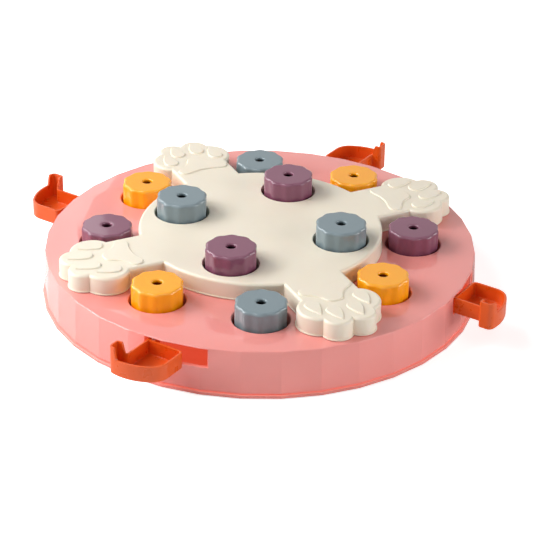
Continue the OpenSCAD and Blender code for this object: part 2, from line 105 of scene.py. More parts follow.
# Trays, in axes that start on the hinge pin: the rim gap, the wall, the reach from the
# pin, and the pull hook
TRAY_H = 10.7
TRAY_Z = DECK_UNDER - 1.1 - TRAY_H
TRAY_WALL = 1.5
TRAY_REACH = 34.1
TRAY_SIDE = 23.8
TRAY_CORNER = 12.0
TRAY_BACK_CORNER = 3.4
TRAY_FRONT = -3.1
TRAY_BACK = 2.3
TRAY_REST = -12.2
HOOK_X = TRAY_REACH - 10.2
HOOK_LOW = TRAY_FRONT - 6.6
HOOK_RISE = 7.4
PIN_PLACE = (DECK_APOTHEM - 3.8, -14.5)
PIN_HOLE_R = 1.88
BARREL_R = 3.2

# Height of a plug's foot, in the deck's wells and in the turntable's
RIM_SEAT_Z = DECK_Z - WELL_DEPTH + FACE_GAP
DISC_SEAT_Z = DISC_TOP - WELL_DEPTH + FACE_GAP

# Only in the looks: rounding of the base's corners, and steps round a plug
CORNER_EASE = 0.25
PLUG_STEPS = 160

# Each plug: its pitch circle, its angle on it, the height of its foot and its colour
PLUGS = {
    "rim_plug_back": (RIM_PITCH_R, 90, RIM_SEAT_Z, "grey"),
    "rim_plug_right": (RIM_PITCH_R, 0, RIM_SEAT_Z, "mauve"),
    "rim_plug_front": (RIM_PITCH_R, -90, RIM_SEAT_Z, "grey"),
    "rim_plug_left": (RIM_PITCH_R, 180, RIM_SEAT_Z, "mauve"),
    "rim_plug_back_right": (RIM_PITCH_R, 50, RIM_SEAT_Z, "yellow"),
    "rim_plug_front_right": (RIM_PITCH_R, -40, RIM_SEAT_Z, "yellow"),
    "rim_plug_front_left": (RIM_PITCH_R, -130, RIM_SEAT_Z, "yellow"),
    "rim_plug_back_left": (RIM_PITCH_R, 140, RIM_SEAT_Z, "yellow"),
    "disc_plug_back": (DISC_PITCH_R, 70, DISC_SEAT_Z, "mauve"),
    "disc_plug_right": (DISC_PITCH_R, -20, DISC_SEAT_Z, "grey"),
    "disc_plug_front": (DISC_PITCH_R, -110, DISC_SEAT_Z, "mauve"),
    "disc_plug_left": (DISC_PITCH_R, 160, DISC_SEAT_Z, "grey"),
}
# Absolute angle of one crest of every plug, as they lie in the wells
CREST_ANGLE = 88.0

# Each tray: the angle of its slot
TRAYS = {"tray_front": -112, "tray_right": -22, "tray_back": 68, "tray_left": 158}

# The disc and arms are one moulding, though its solids come as five
TURNTABLE_NODES = (
    "turntable",
    "paw_arm_back_right",
    "paw_arm_back_left",
    "paw_arm_front_left",
    "paw_arm_front_right",
)


# ---------------------------------------------------------------- camera and light


# Half the floor's width in metres
FLOOR_HALF = 6.0


def add_camera():
    """The view from the front and above, turned by a small roll."""
    stand = Vector((-11.783, -1201.105, 668.472)) * MM
    target = Vector((5.743, -60.084, 44.2)) * MM
    roll = math.radians(0.86)
    back = (stand - target).normalized()
    right = Vector((0, 0, 1)).cross(back).normalized()
    up = back.cross(right)
    tilted_right = right * math.cos(roll) + up * math.sin(roll)
    tilted_up = up * math.cos(roll) - right * math.sin(roll)
    data = bpy.data.cameras.new("camera")
    data.sensor_fit = "HORIZONTAL"
    data.sensor_width = 36
    data.lens = 138.366
    data.clip_start = 0.05
    data.clip_end = 50
    camera = bpy.data.objects.new("camera", data)
    turn = Matrix((tilted_right, tilted_up, back)).transposed().to_4x4()
    camera.matrix_world = Matrix.Translation(stand) @ turn
    bpy.context.scene.collection.objects.link(camera)
    bpy.context.scene.camera = camera


# Soft lights: angle round the toy and above the floor in degrees, width and height
# in metres, power in watts and distance in metres
SOFTBOXES = {
    "left_high": (180, 60, (0.45, 0.45), 3.0, 1.3),
    "left": (180, 35, (0.45, 0.45), 8.0, 1.3),
    "left_low": (185, 15, (0.9, 0.6), 6.2, 1.3),
    "left_back": (150, 35, (0.45, 0.45), 5.5, 1.3),
    "right_low": (0, 15, (0.45, 0.45), 4.3, 1.3),
    "right_front": (330, 15, (0.45, 0.45), 4.6, 1.3),
    "front_low": (270, 15, (0.45, 0.45), 1.3, 1.3),
    "front_high": (300, 60, (0.45, 0.45), 1.1, 1.3),
    "near_left": (210, 50, (0.2, 0.2), 0.25, 0.5),
    "near_back": (120, 30, (0.2, 0.2), 0.15, 0.5),
    "near_front": (240, 50, (0.2, 0.2), 0.12, 0.5),
}


def add_softbox(name):
    """A soft light that faces the middle of the toy."""
    around, above, size, power, away = SOFTBOXES[name]
    data = bpy.data.lights.new(name, "AREA")
    data.shape = "RECTANGLE"
    data.size, data.size_y = size
    data.energy = power
    light = bpy.data.objects.new(name, data)
    a, b = math.radians(around), math.radians(above)
    middle = Vector((0, 0, 0.03))
    outward = Vector((math.cos(a) * math.cos(b), math.sin(a) * math.cos(b), math.sin(b)))
    light.location = middle + away * outward
    light.rotation_euler = (middle - light.location).to_track_quat("-Z", "Y").to_euler()
    bpy.context.scene.collection.objects.link(light)


def add_surround():
    """White to the eye, a little less in reflections, and with hardly any light."""
    world = bpy.data.worlds.new("studio")
    bpy.context.scene.world = world
    world.use_nodes = True
    tree = world.node_tree
    tree.nodes.clear()
    path = add_node(tree, "ShaderNodeLightPath")
    fill = add_node(tree, "ShaderNodeBackground", {"Color": srgb("#ffffff"), "Strength": 0.02})
    mirrored = add_node(tree, "ShaderNodeBackground", {"Color": srgb("#ffffff"), "Strength": 0.86})
    seen = add_node(tree, "ShaderNodeBackground", {"Color": srgb("#ffffff"), "Strength": 1.0})
    gloss = add_node(
        tree,
        "ShaderNodeMixShader",
        {0: path.outputs["Is Glossy Ray"], 1: fill.outputs[0], 2: mirrored.outputs[0]},
    )
    mix = add_node(
        tree,
        "ShaderNodeMixShader",
        {0: path.outputs["Is Camera Ray"], 1: gloss.outputs[0], 2: seen.outputs[0]},
    )
    add_node(tree, "ShaderNodeOutputWorld", {"Surface": mix.outputs[0]})


def add_studio():
    """Surround, soft boxes and a pale floor."""
    add_surround()
    for name in SOFTBOXES:
        add_softbox(name)

    bm = bmesh.new()
    bmesh.ops.create_grid(bm, x_segments=1, y_segments=1, size=FLOOR_HALF)
    floor = mesh_object("floor", bm)
    floor.data.materials.append(pale_sweep())


# ---------------------------------------------------------------- materials


# Depth in mm of the slow ripple and of the fine grain of a moulding's skin
RIPPLE_DEPTH = 0.012
GRAIN_DEPTH = 0.004


def srgb(code):
    """An sRGB hex colour as linear red, green, blue and alpha."""
    parts = [int(code[i:i + 2], 16) / 255 for i in (1, 3, 5)]
    linear = [c / 12.92 if c <= 0.04045 else ((c + 0.055) / 1.055) ** 2.4 for c in parts]
    return (*linear, 1.0)


def add_node(tree, kind, inputs=None, **settings):
    """Adds a node, sets it, and fills or links its inputs by name or number."""
    made = tree.nodes.new(kind)
    for name, value in settings.items():
        setattr(made, name, value)
    for name, value in (inputs or {}).items():
        if isinstance(value, bpy.types.NodeSocket):
            tree.links.new(value, made.inputs[name])
        else:
            made.inputs[name].default_value = value
    return made


def per_mm(size):
    """Texture scale whose features are about size millimetres across."""
    return 1000.0 / size


def new_material(name):
    material = bpy.data.materials.new(name)
    material.use_nodes = True
    material.node_tree.nodes.clear()
    return material


def pale_sweep():
    """Matt white studio paper: it goes white to the eye and keeps a soft shadow.
    Far from the toy, out of the lamps' reach, it glows as much as the surround."""
    material = new_material("studio_paper")
    tree = material.node_tree
    spot = add_node(tree, "ShaderNodeTexCoord")
    fibre = add_node(
        tree, "ShaderNodeTexNoise", {"Vector": spot.outputs["Object"], "Scale": per_mm(4), "Detail": 2.0}
    )
    tone = add_node(
        tree,
        "ShaderNodeMix",
        {"Factor": fibre.outputs["Fac"], "A": srgb("#f4f4f4"), "B": srgb("#fafafa")},
        data_type="RGBA",
    )
    paper = add_node(tree, "ShaderNodeBsdfDiffuse", {"Color": tone.outputs["Result"]})
    path = add_node(tree, "ShaderNodeLightPath")
    far = add_node(tree, "ShaderNodeVectorMath", {0: spot.outputs["Object"]}, operation="LENGTH")
    level = add_node(
        tree,
        "ShaderNodeMapRange",
        {"Value": far.outputs["Value"], "From Min": 0.4, "From Max": 1.2, "To Min": 0.62, "To Max": 1.0},
    )
    glow = add_node(
        tree, "ShaderNodeEmission", {"Color": srgb("#ffffff"), "Strength": level.outputs["Result"]}
    )
    lit = add_node(tree, "ShaderNodeAddShader", {0: paper.outputs[0], 1: glow.outputs[0]})
    mix = add_node(
        tree,
        "ShaderNodeMixShader",
        {0: path.outputs["Is Camera Ray"], 1: paper.outputs[0], 2: lit.outputs[0]},
    )
    add_node(tree, "ShaderNodeOutputMaterial", {"Surface": mix.outputs[0]})
    return material


def skin_relief(tree, spot):
    """The normals of a moulding's skin: a slow ripple under a fine grain."""
    ripple = add_node(tree, "ShaderNodeTexNoise", {"Vector": spot, "Scale": per_mm(9), "Detail": 1.0})
    grain = add_node(tree, "ShaderNodeTexNoise", {"Vector": spot, "Scale": per_mm(0.7), "Detail": 2.0})
    slow = add_node(
        tree,
        "ShaderNodeBump",
        {"Height": ripple.outputs["Fac"], "Strength": 0.5, "Distance": RIPPLE_DEPTH * MM},
    )
    fine = add_node(
        tree,
        "ShaderNodeBump",
        {
            "Height": grain.outputs["Fac"],
            "Strength": 0.2,
            "Distance": GRAIN_DEPTH * MM,
            "Normal": slow.outputs[0],
        },
    )
    return fine.outputs[0]


def moulded_plastic(name, light, dark, rough, blotch, soften=0.0, glow=(3, 2, 1), painted_glow=0.0):
    """Injection-moulded plastic: a polished tool gives gloss, and the melt's flow
    leaves faint broad clouds of tone, a slow ripple and patches that shine less.
    Its two tones are light and dark, its clouds blotch mm across, and its roughness
    lies between the two values of rough. Pale plastic lets light in: soften is how
    much, glow how far in mm for red, green and blue. In a closed hollow, painted_glow
    is the strength of a painted red glow, an emission that stands in for the light
    that the thin deck lets in."""
    material = new_material(name)
    tree = material.node_tree
    spot = add_node(tree, "ShaderNodeTexCoord").outputs["Object"]
    cloud = add_node(
        tree,
        "ShaderNodeTexNoise",
        {"Vector": spot, "Scale": per_mm(blotch), "Detail": 3.0, "Roughness": 0.55},
    )
    tone = add_node(
        tree,
        "ShaderNodeMix",
        {"Factor": cloud.outputs["Fac"], "A": srgb(dark), "B": srgb(light)},
        data_type="RGBA",
    )
    patch = add_node(tree, "ShaderNodeTexNoise", {"Vector": spot, "Scale": per_mm(7), "Detail": 4.0})
    shine = add_node(
        tree,
        "ShaderNodeMapRange",
        {
            "Value": patch.outputs["Fac"],
            "From Min": 0.3,
            "From Max": 0.7,
            "To Min": rough[0],
            "To Max": rough[1],
        },
    )
    skin = add_node(
        tree,
        "ShaderNodeBsdfPrincipled",
        {
            "Base Color": tone.outputs["Result"],
            "Roughness": shine.outputs["Result"],
            "Normal": skin_relief(tree, spot),
            "IOR": 1.5,
            "Subsurface Weight": soften,
            "Subsurface Radius": tuple(reach * MM for reach in glow),
            "Subsurface Scale": 1.0,
            # Painted glow: emission that stands in for light through the thin deck, set only for the
            # hollow
            "Emission Color": srgb("#ff8a60"),
            "Emission Strength": painted_glow,
        },
    )
    add_node(tree, "ShaderNodeOutputMaterial", {"Surface": skin.outputs[0]})
    return material


# Plastics by their use: name, light and dark tone, roughness, clouds in mm, and for
# those that let light in how much, how far for red, green and blue, and a painted glow
PLASTICS = {
    # Glossy ABS from a polished tool, which mirrors what stands round it
    "base": ("moulded_abs_pink", "#f39c95", "#f1968f", (0.05, 0.08), 40, 0.12, (1.5, 0.5, 0.3)),
    # The same moulding's unpolished inside, with a painted red glow that stands in for the light of the
    # thin deck
    "hollow": ("moulded_abs_pink_inside", "#f4a09a", "#f19b94", (0.3, 0.4), 40, 0.0, (3, 2, 1), 0.16),
    # ABS from a plainer tool, with a duller gloss
    "plate": ("moulded_abs_pink_plate", "#ef9389", "#eb8c82", (0.2, 0.3), 30, 0.12, (1.5, 0.5, 0.3)),
    # Polypropylene, waxy and soft in the light
    "turntable": ("moulded_pp_cream", "#eee5d3", "#eadfcb", (0.3, 0.42), 22, 0.2, (1.2, 0.8, 0.5)),
    "tray": ("moulded_pp_orange", "#e45c18", "#de5412", (0.25, 0.36), 30),
    # Glossy ABS plugs with bright, thin highlights along their flutes
    "yellow": ("moulded_abs_yellow", "#ffac10", "#fea60c", (0.07, 0.11), 20, 0.2, (2, 0.8, 0.3)),
    "mauve": ("moulded_abs_mauve", "#844f65", "#804b61", (0.07, 0.11), 20),
    "grey": ("moulded_abs_grey", "#7d8c92", "#79898f", (0.07, 0.11), 20),
    # Undyed nylon, off-white and dull
    "washer": ("moulded_pa_washer", "#dcdad2", "#d2d0c8", (0.4, 0.5), 8),
}


def zinc_plated_steel():
    """Drawn steel wire with bright zinc plate: bluish white, with fine lines along it."""
    material = new_material("zinc_plated_steel")
    tree = material.node_tree
    spot = add_node(tree, "ShaderNodeTexCoord").outputs["Object"]
    drawn = add_node(tree, "ShaderNodeMapping", {"Vector": spot, "Scale": (1.0, 1.0, 0.1)})
    line = add_node(
        tree, "ShaderNodeTexNoise", {"Vector": drawn.outputs[0], "Scale": per_mm(0.5), "Detail": 3.0}
    )
    tone = add_node(
        tree,
        "ShaderNodeMix",
        {"Factor": line.outputs["Fac"], "A": srgb("#a9b0b6"), "B": srgb("#d5d9dc")},
        data_type="RGBA",
    )
    shine = add_node(
        tree,
        "ShaderNodeMapRange",
        {"Value": line.outputs["Fac"], "From Min": 0.3, "From Max": 0.7, "To Min": 0.22, "To Max": 0.38},
    )
    metal = add_node(
        tree,
        "ShaderNodeBsdfPrincipled",
        {"Base Color": tone.outputs["Result"], "Roughness": shine.outputs["Result"], "Metallic": 1.0},
    )
    add_node(tree, "ShaderNodeOutputMaterial", {"Surface": metal.outputs[0]})
    return material


def soft_rubber():
    """Moulded TPR foot: matt, with a fine grain that scatters the light."""
    material = new_material("moulded_rubber_white")
    tree = material.node_tree
    spot = add_node(tree, "ShaderNodeTexCoord").outputs["Object"]
    grain = add_node(tree, "ShaderNodeTexNoise", {"Vector": spot, "Scale": per_mm(0.8), "Detail": 4.0})
    tone = add_node(
        tree,
        "ShaderNodeMix",
        {"Factor": grain.outputs["Fac"], "A": srgb("#cfcfca"), "B": srgb("#e3e3df")},
        data_type="RGBA",
    )
    bump = add_node(
        tree, "ShaderNodeBump", {"Height": grain.outputs["Fac"], "Strength": 0.4, "Distance": 0.05 * MM}
    )
    skin = add_node(
        tree,
        "ShaderNodeBsdfPrincipled",
        {"Base Color": tone.outputs["Result"], "Roughness": 0.75, "Normal": bump.outputs[0]},
    )
    add_node(tree, "ShaderNodeOutputMaterial", {"Surface": skin.outputs[0]})
    return material


# ---------------------------------------------------------------- mesh helpers


def mesh_object(name, bm):
    """A new object at the origin that holds the mesh."""
    mesh = bpy.data.meshes.new(name)
    bm.to_mesh(mesh)
    bm.free()
    made = bpy.data.objects.new(name, mesh)
    bpy.context.scene.collection.objects.link(made)
    return made


def add_loop(bm, points, z):
    return [bm.verts.new((x * MM, y * MM, z * MM)) for x, y in points]


def bridge(bm, low, high):
    """Quads between two closed loops with the same number of points."""
    n = len(low)
    for i in range(n):
        bm.faces.new((low[i], low[(i + 1) % n], high[(i + 1) % n], high[i]))


def loop_edges(bm, loop):
    pairs = [(vert, loop[(i + 1) % len(loop)]) for i, vert in enumerate(loop)]
    return [bm.edges.get(pair) or bm.edges.new(pair) for pair in pairs]


def turned(points, angle, shift=(0.0, 0.0)):
    """Points moved by shift and then turned about the origin by degrees."""
    c, s = math.cos(math.radians(angle)), math.sin(math.radians(angle))
    moved = [(x + shift[0], y + shift[1]) for x, y in points]
    return [(x * c - y * s, x * s + y * c) for x, y in moved]


def circle_points(radius, count):
    angles = [2 * math.pi * i / count for i in range(count)]
    return [(radius * math.cos(a), radius * math.sin(a)) for a in angles]


def arc_points(centre, radius, start, end, count):
    """Points from one angle to another, in radians, both ends included."""
    step = (end - start) / (count - 1)
    angles = [start + i * step for i in range(count)]
    return [(centre[0] + radius * math.cos(a), centre[1] + radius * math.sin(a)) for a in angles]


def finish_mesh(piece, sharp=35):
    """Outward normals, smooth curves and crisp edges, with flat faces kept flat."""
    bm = bmesh.new()
    bm.from_mesh(piece.data)
    bmesh.ops.remove_doubles(bm, verts=bm.verts, dist=0.00001)
    bmesh.ops.recalc_face_normals(bm, faces=bm.faces)
    for face in bm.faces:
        face.smooth = True
    bm.to_mesh(piece.data)
    bm.free()
    piece.data.set_sharp_from_angle(angle=math.radians(sharp))
    even = piece.modifiers.new("even_shading", "WEIGHTED_NORMAL")
    even.keep_sharp = True


# Faces with more edges than this are broad ones, with room beside their edges
MOST_EDGES = 40

# The least turn in degrees at a corner, and at one between two facets of the side wall
CORNER_TURN = 28
FACET_TURN = 6


def is_corner(edge):
    """Whether a moulding's edge is a corner, and not a step of a round face."""
    turn = edge.calc_face_angle(0.0)
    on_wall = min(vert.co.xy.length for vert in edge.verts) > WALL_R * MM
    return turn > math.radians(FACET_TURN if on_wall else CORNER_TURN)


def distance_to(edge, vert):
    """Distance from a corner point to an edge."""
    ends = [end.co for end in edge.verts]
    spot, share = intersect_point_line(vert.co, *ends)
    if share < 0 or share > 1:
        return min((vert.co - end).length for end in ends)
    return (vert.co - spot).length


def room_beside(edge):
    """Distance from an edge to the nearest one that it doesn't touch, across its faces."""
    room = 1.0
    for face in edge.link_faces:
        if len(face.edges) > MOST_EDGES:
            continue
        for other in face.edges:
            if set(edge.verts) & set(other.verts):
                continue
            gaps = [distance_to(other, vert) for vert in edge.verts]
            gaps += [distance_to(edge, vert) for vert in other.verts]
            room = min(room, *gaps)
    return room


def in_cavity(face):
    """Whether a face lies in the base's closed hollow, outside its wells and dishes."""
    spot = face.calc_center_median() / MM
    if not PLATE_TOP - 0.3 < spot.z < DECK_UNDER + 0.1 or spot.xy.length > CAVITY_R:
        return False
    wells = [(PLUGS[node][0], PLUGS[node][1], WELL_R) for node in PLUGS if node.startswith("rim")]
    wells += [(DISH_PITCH_R, PAW_ANGLE + 90 * i, DISH_R) for i in range(4)]
    for pitch, angle, radius in wells:
        a = math.radians(angle)
        middle = Vector((pitch * math.cos(a), pitch * math.sin(a)))
        if all((vert.co.xy / MM - middle).length < radius + 1 for vert in face.verts):
            return False
    return True


def eased_copy(source, name, width):
    """A solid's skin with its corners rounded over by a moulding's small radius, or
    by less where the next edge is too near."""
    piece = bpy.data.objects.new(name, source.data.copy())
    bpy.context.scene.collection.objects.link(piece)
    bm = bmesh.new()
    bm.from_mesh(piece.data)
    bmesh.ops.remove_doubles(bm, verts=bm.verts, dist=0.000001)
    bmesh.ops.dissolve_limit(bm, angle_limit=math.radians(0.5), verts=bm.verts, edges=bm.edges)
    corner = bm.edges.layers.float.new("bevel_weight_edge")
    for edge in bm.edges:
        edge[corner] = 0.0
        if is_corner(edge):
            edge[corner] = min(0.45 * room_beside(edge) / (width * MM), 1.0)
    for face in bm.faces:
        face.smooth = True
    bm.to_mesh(piece.data)
    bm.free()
    ease = piece.modifiers.new("eased_corners", "BEVEL")
    ease.width = width * MM
    ease.segments = 3
    ease.limit_method = "WEIGHT"
    ease.use_clamp_overlap = False
    ease.harden_normals = True
    return piece


def line_cavity_painted_glow(piece, material):
    """Gives the faces in the base's hollow a material of their own, whose painted glow stands in for
    light through the deck.
    """
    piece.data.materials.append(material)
    bm = bmesh.new()
    bm.from_mesh(piece.data)
    for face in bm.faces:
        face.material_index = 1 if in_cavity(face) else 0
    bm.to_mesh(piece.data)
    bm.free()


# ---------------------------------------------------------------- turntable


def half_arm(inset):
    """One side of an arm, from the notch at its tip back to the disc, along +X."""
    disc = DISC_R - inset
    bar = ARM_W / 2 - inset
    inner = INNER_TOE_R - inset
    outer = OUTER_TOE_R - inset
    reach = math.sqrt(max(outer ** 2 - OUTER_TOE[1] ** 2, 0.04))
    tip = math.atan2(-OUTER_TOE[1], reach)
    dx, dy = INNER_TOE[0] - OUTER_TOE[0], INNER_TOE[1] - OUTER_TOE[1]
    apart = math.hypot(dx, dy)
    along = (apart ** 2 + outer ** 2 - inner ** 2) / (2 * apart)
    aside = math.sqrt(outer ** 2 - along ** 2)
    ux, uy = dx / apart, dy / apart
    notch = (OUTER_TOE[0] + along * ux + aside * uy, OUTER_TOE[1] + along * uy - aside * ux)
    leave = math.atan2(notch[1] - OUTER_TOE[1], notch[0] - OUTER_TOE[0])
    enter = math.atan2(notch[1] - INNER_TOE[1], notch[0] - INNER_TOE[0])
    rise = bar - INNER_TOE[1]
    neck = math.pi - math.asin(rise / inner)
    outline = arc_points(OUTER_TOE, outer, tip, leave, 18)
    outline[0] = (OUTER_TOE[0] + reach, 0.0)
    outline += arc_points(INNER_TOE, inner, enter, neck, 26)[1:]
    root = math.sqrt(disc ** 2 - bar ** 2)
    neck_x = outline[-1][0]
    outline += [(neck_x + (root - neck_x) * i / 6, bar) for i in range(1, 7)]
    return outline


def turntable_outline(inset):
    """The whole outline at a distance inside the side wall."""
    half = half_arm(inset)
    arm = [(x, -y) for x, y in reversed(half[1:])] + half
    root = math.degrees(math.atan2(half[-1][1], half[-1][0]))
    rim = arc_points((0, 0), DISC_R - inset, math.radians(root), math.radians(90 - root), 26)[1:-1]
    outline = []
    for quarter in range(4):
        outline += turned(arm + rim, PAW_ANGLE + 90 * quarter)
    return outline


def turntable_side():
    """Height and inset of each loop up the side: bead, wall and rounded edge."""
    steps = [(0.0, 0.2), (0.0, -0.3), (0.15, -BEAD_OUT)]
    steps += [(BEAD_H - 0.25, -BEAD_OUT), (BEAD_H - 0.05, -0.35), (BEAD_H, 0.0), (BEAD_H + 0.3, 0.0)]
    for i in range(9):
        a = math.radians(90 * i / 8)
        steps.append((DISC_H - DISC_EDGE + DISC_EDGE * math.sin(a), DISC_EDGE * (1 - math.cos(a))))
    return steps


def build_turntable():
    """Disc, arms and paws in one moulding, with four wells and raised pads."""
    bm = bmesh.new()
    side = [add_loop(bm, turntable_outline(inset), DISC_Z + z) for z, inset in turntable_side()]
    for low, high in zip(side, side[1:]):
        bridge(bm, low, high)
    rims = loop_edges(bm, side[-1])
    for quarter in range(4):
        rims += add_well(bm, DISC_WELL_ANGLE + 90 * quarter)
        rims += add_paw_pads(bm, PAW_ANGLE + 90 * quarter)
    bmesh.ops.triangle_fill(bm, use_beauty=True, use_dissolve=False, edges=rims)
    bmesh.ops.triangle_fill(bm, use_beauty=True, use_dissolve=False, edges=loop_edges(bm, side[0]))
    return mesh_object("turntable_shell", bm)


def add_well(bm, angle):
    """A round well sunk in the top; gives back the edges of its mouth."""
    lip = 0.6
    levels = []
    for i in range(5):
        a = math.radians(90 * i / 4)
        levels.append((DISC_TOP - lip + lip * math.cos(a), WELL_R + lip * (1 - math.sin(a))))
    levels += [(DISC_TOP - 4, WELL_R), (DISC_Z + DISC_FLOOR, WELL_R)]
    loops = []
    for z, r in levels:
        loops.append(add_loop(bm, turned(circle_points(r, 96), angle, (DISC_PITCH_R, 0)), z))
    for high, low in zip(loops, loops[1:]):
        bridge(bm, low, high)
    bm.faces.new(loops[-1])
    return loop_edges(bm, loops[0])


def inset_loop(points, inset):
    """A closed counterclockwise loop moved inwards along its mitres."""
    n = len(points)
    moved = []
    for i in range(n):
        before = Vector(points[i]) - Vector(points[i - 1])
        after = Vector(points[(i + 1) % n]) - Vector(points[i])
        a = Vector((-before.y, before.x)).normalized()
        b = Vector((-after.y, after.x)).normalized()
        mitre = (a + b) / max(1 + a.dot(b), 0.6)
        moved.append((points[i][0] + inset * mitre.x, points[i][1] + inset * mitre.y))
    return moved


def add_pad(bm, points, angle):
    """A raised pad with a small fillet at its foot and a soft top edge; gives back
    the edges of its foot."""
    ease = PAD_RISE * 0.75
    levels = [(0.0, -0.22), (0.03, -0.1), (PAD_RISE - ease, 0.02)]
    for i in range(1, 6):
        a = math.radians(90 * i / 5)
        levels.append((PAD_RISE - ease + ease * math.sin(a), 0.02 + ease * (1 - math.cos(a))))
    loops = []
    for z, inset in levels:
        loops.append(add_loop(bm, turned(inset_loop(points, inset), angle), DISC_TOP + z))
    for low, high in zip(loops, loops[1:]):
        bridge(bm, low, high)
    bmesh.ops.triangle_fill(bm, use_beauty=True, use_dissolve=False, edges=loop_edges(bm, loops[-1]))
    return loop_edges(bm, loops[0])


def toe_pad(centre):
    """Drop with bowed sides and its point towards the rim."""
    belly, bow = 4.9, 28.0
    leave = math.radians(80)
    dx, dy = (bow - belly) * math.cos(leave), (bow - belly) * math.sin(leave)
    meet = math.asin(dy / bow) + 0.012
    outline = arc_points(centre, belly, leave, 2 * math.pi - leave, 36)
    outline += arc_points((centre[0] - dx, centre[1] + dy), bow, -leave, -meet, 10)[1:]
    outline += arc_points((centre[0] - dx, centre[1] - dy), bow, meet, leave, 10)[:-1]
    return outline


def in_palm(s, t):
    """Whether a point of the paw lies under the palm pad before its edge is eased:
    three round lobes with hollow sides between them."""
    heel, front, lobe = PALM_HEEL, PALM_FRONT, 4.6
    heel_bow, heel_dip, side_bow, side_dip = 30, 2.6, 16, 1.8
    t = abs(t)
    if math.hypot(s - heel[0], t - heel[1]) < lobe or math.hypot(s - front[0], t - front[1]) < lobe:
        return True
    heel_centre = heel[0] - lobe + heel_dip - heel_bow
    if math.hypot(s - heel_centre, t) < heel_bow or s < heel[0] - lobe:
        return False
    side = Vector((front[0] - heel[0], front[1] - heel[1]))
    out = Vector((-side.y, side.x)).normalized()
    gap = (Vector((s, t)) - Vector(heel)).dot(out)
    mid = (Vector(heel) + Vector(front)) / 2 + out * (lobe - side_dip + side_bow)
    if (Vector((s, t)) - mid).length < side_bow:
        return False
    along = (Vector((s, t)) - Vector(heel)).dot(side.normalized())
    if s < heel[0]:
        return t < heel[1]
    return gap < lobe and -4 < along and s < front[0] + lobe / 2


def palm_pad():
    """Three-lobed pad: its edge is found along rays from its middle, then eased."""
    centre, count = (PAW_REACH - 38.5, 0.0), 160
    reach = []
    for i in range(count):
        a = 2 * math.pi * i / count
        low, high = 0.5, 24.0
        while high - low > 0.01:
            mid = (low + high) / 2
            if in_palm(centre[0] + mid * math.cos(a), centre[1] + mid * math.sin(a)):
                low = mid
            else:
                high = mid
        reach.append(low)
    for _ in range(6):
        reach = [(reach[i - 1] + 2 * reach[i] + reach[(i + 1) % count]) / 4 for i in range(count)]
    edge = []
    for i, d in enumerate(reach):
        a = 2 * math.pi * i / count
        edge.append((centre[0] + d * math.cos(a), centre[1] + d * math.sin(a)))
    return edge


def add_paw_pads(bm, angle):
    """The five pads of a paw; gives back the edges of their feet."""
    feet = add_pad(bm, palm_pad(), angle)
    for side in (-1, 1):
        for along, aside in TOE_PADS:
            feet += add_pad(bm, toe_pad((along, side * aside)), angle)
    return feet


# ---------------------------------------------------------------- plugs


def plug_section():
    """Half section of a plug as (radius, share of the flutes, height) points: up its
    hollow inside, out through the scent hole and down its fluted skin."""
    top, foot = PLUG_H, 0.4
    points = [(PLUG_INNER_R, 0, foot), (PLUG_INNER_R, 0, top - PLUG_TOP - 1.0)]
    points += [(PLUG_INNER_R - 1.0, 0, top - PLUG_TOP), (SCENT_R + 0.3, 0, top - PLUG_TOP)]
    points += [(SCENT_R, 0, top - PLUG_TOP + 0.3)]
    for i in range(7):
        a = math.radians(90 * i / 6)
        rim_r = SCENT_R + SCENT_LIP * (1 - math.cos(a))
        points.append((rim_r, 0, top - SCENT_LIP + SCENT_LIP * math.sin(a)))
    flat_r = PLUG_R - PLUG_EDGE
    points += [(SCENT_R + 2, 0, top), (flat_r - 4, 0.1, top), (flat_r - 0.4, 0.9, top)]
    for i in range(9):
        a = math.radians(90 * i / 8)
        points.append((flat_r + PLUG_EDGE * math.sin(a), 1, top - PLUG_EDGE * (1 - math.cos(a))))
    points += [(PLUG_R, 1, top - 5), (PLUG_R, 1, foot)]
    points += [(PLUG_R - foot * 0.3, 1, foot * 0.3), (PLUG_R - foot, 1, 0), (PLUG_INNER_R + foot, 0, 0)]
    return points + [(PLUG_INNER_R, 0, foot)]


# Named inputs of the plug's tree
PLUG_INPUTS = {
    "Section points": "NodeSocketInt",
    "Steps": "NodeSocketInt",
    "Flutes": "NodeSocketInt",
    "Flute depth": "NodeSocketFloat",
    "Seat": "NodeSocketVector",
    "Turn": "NodeSocketFloat",
    "Material": "NodeSocketMaterial",
}


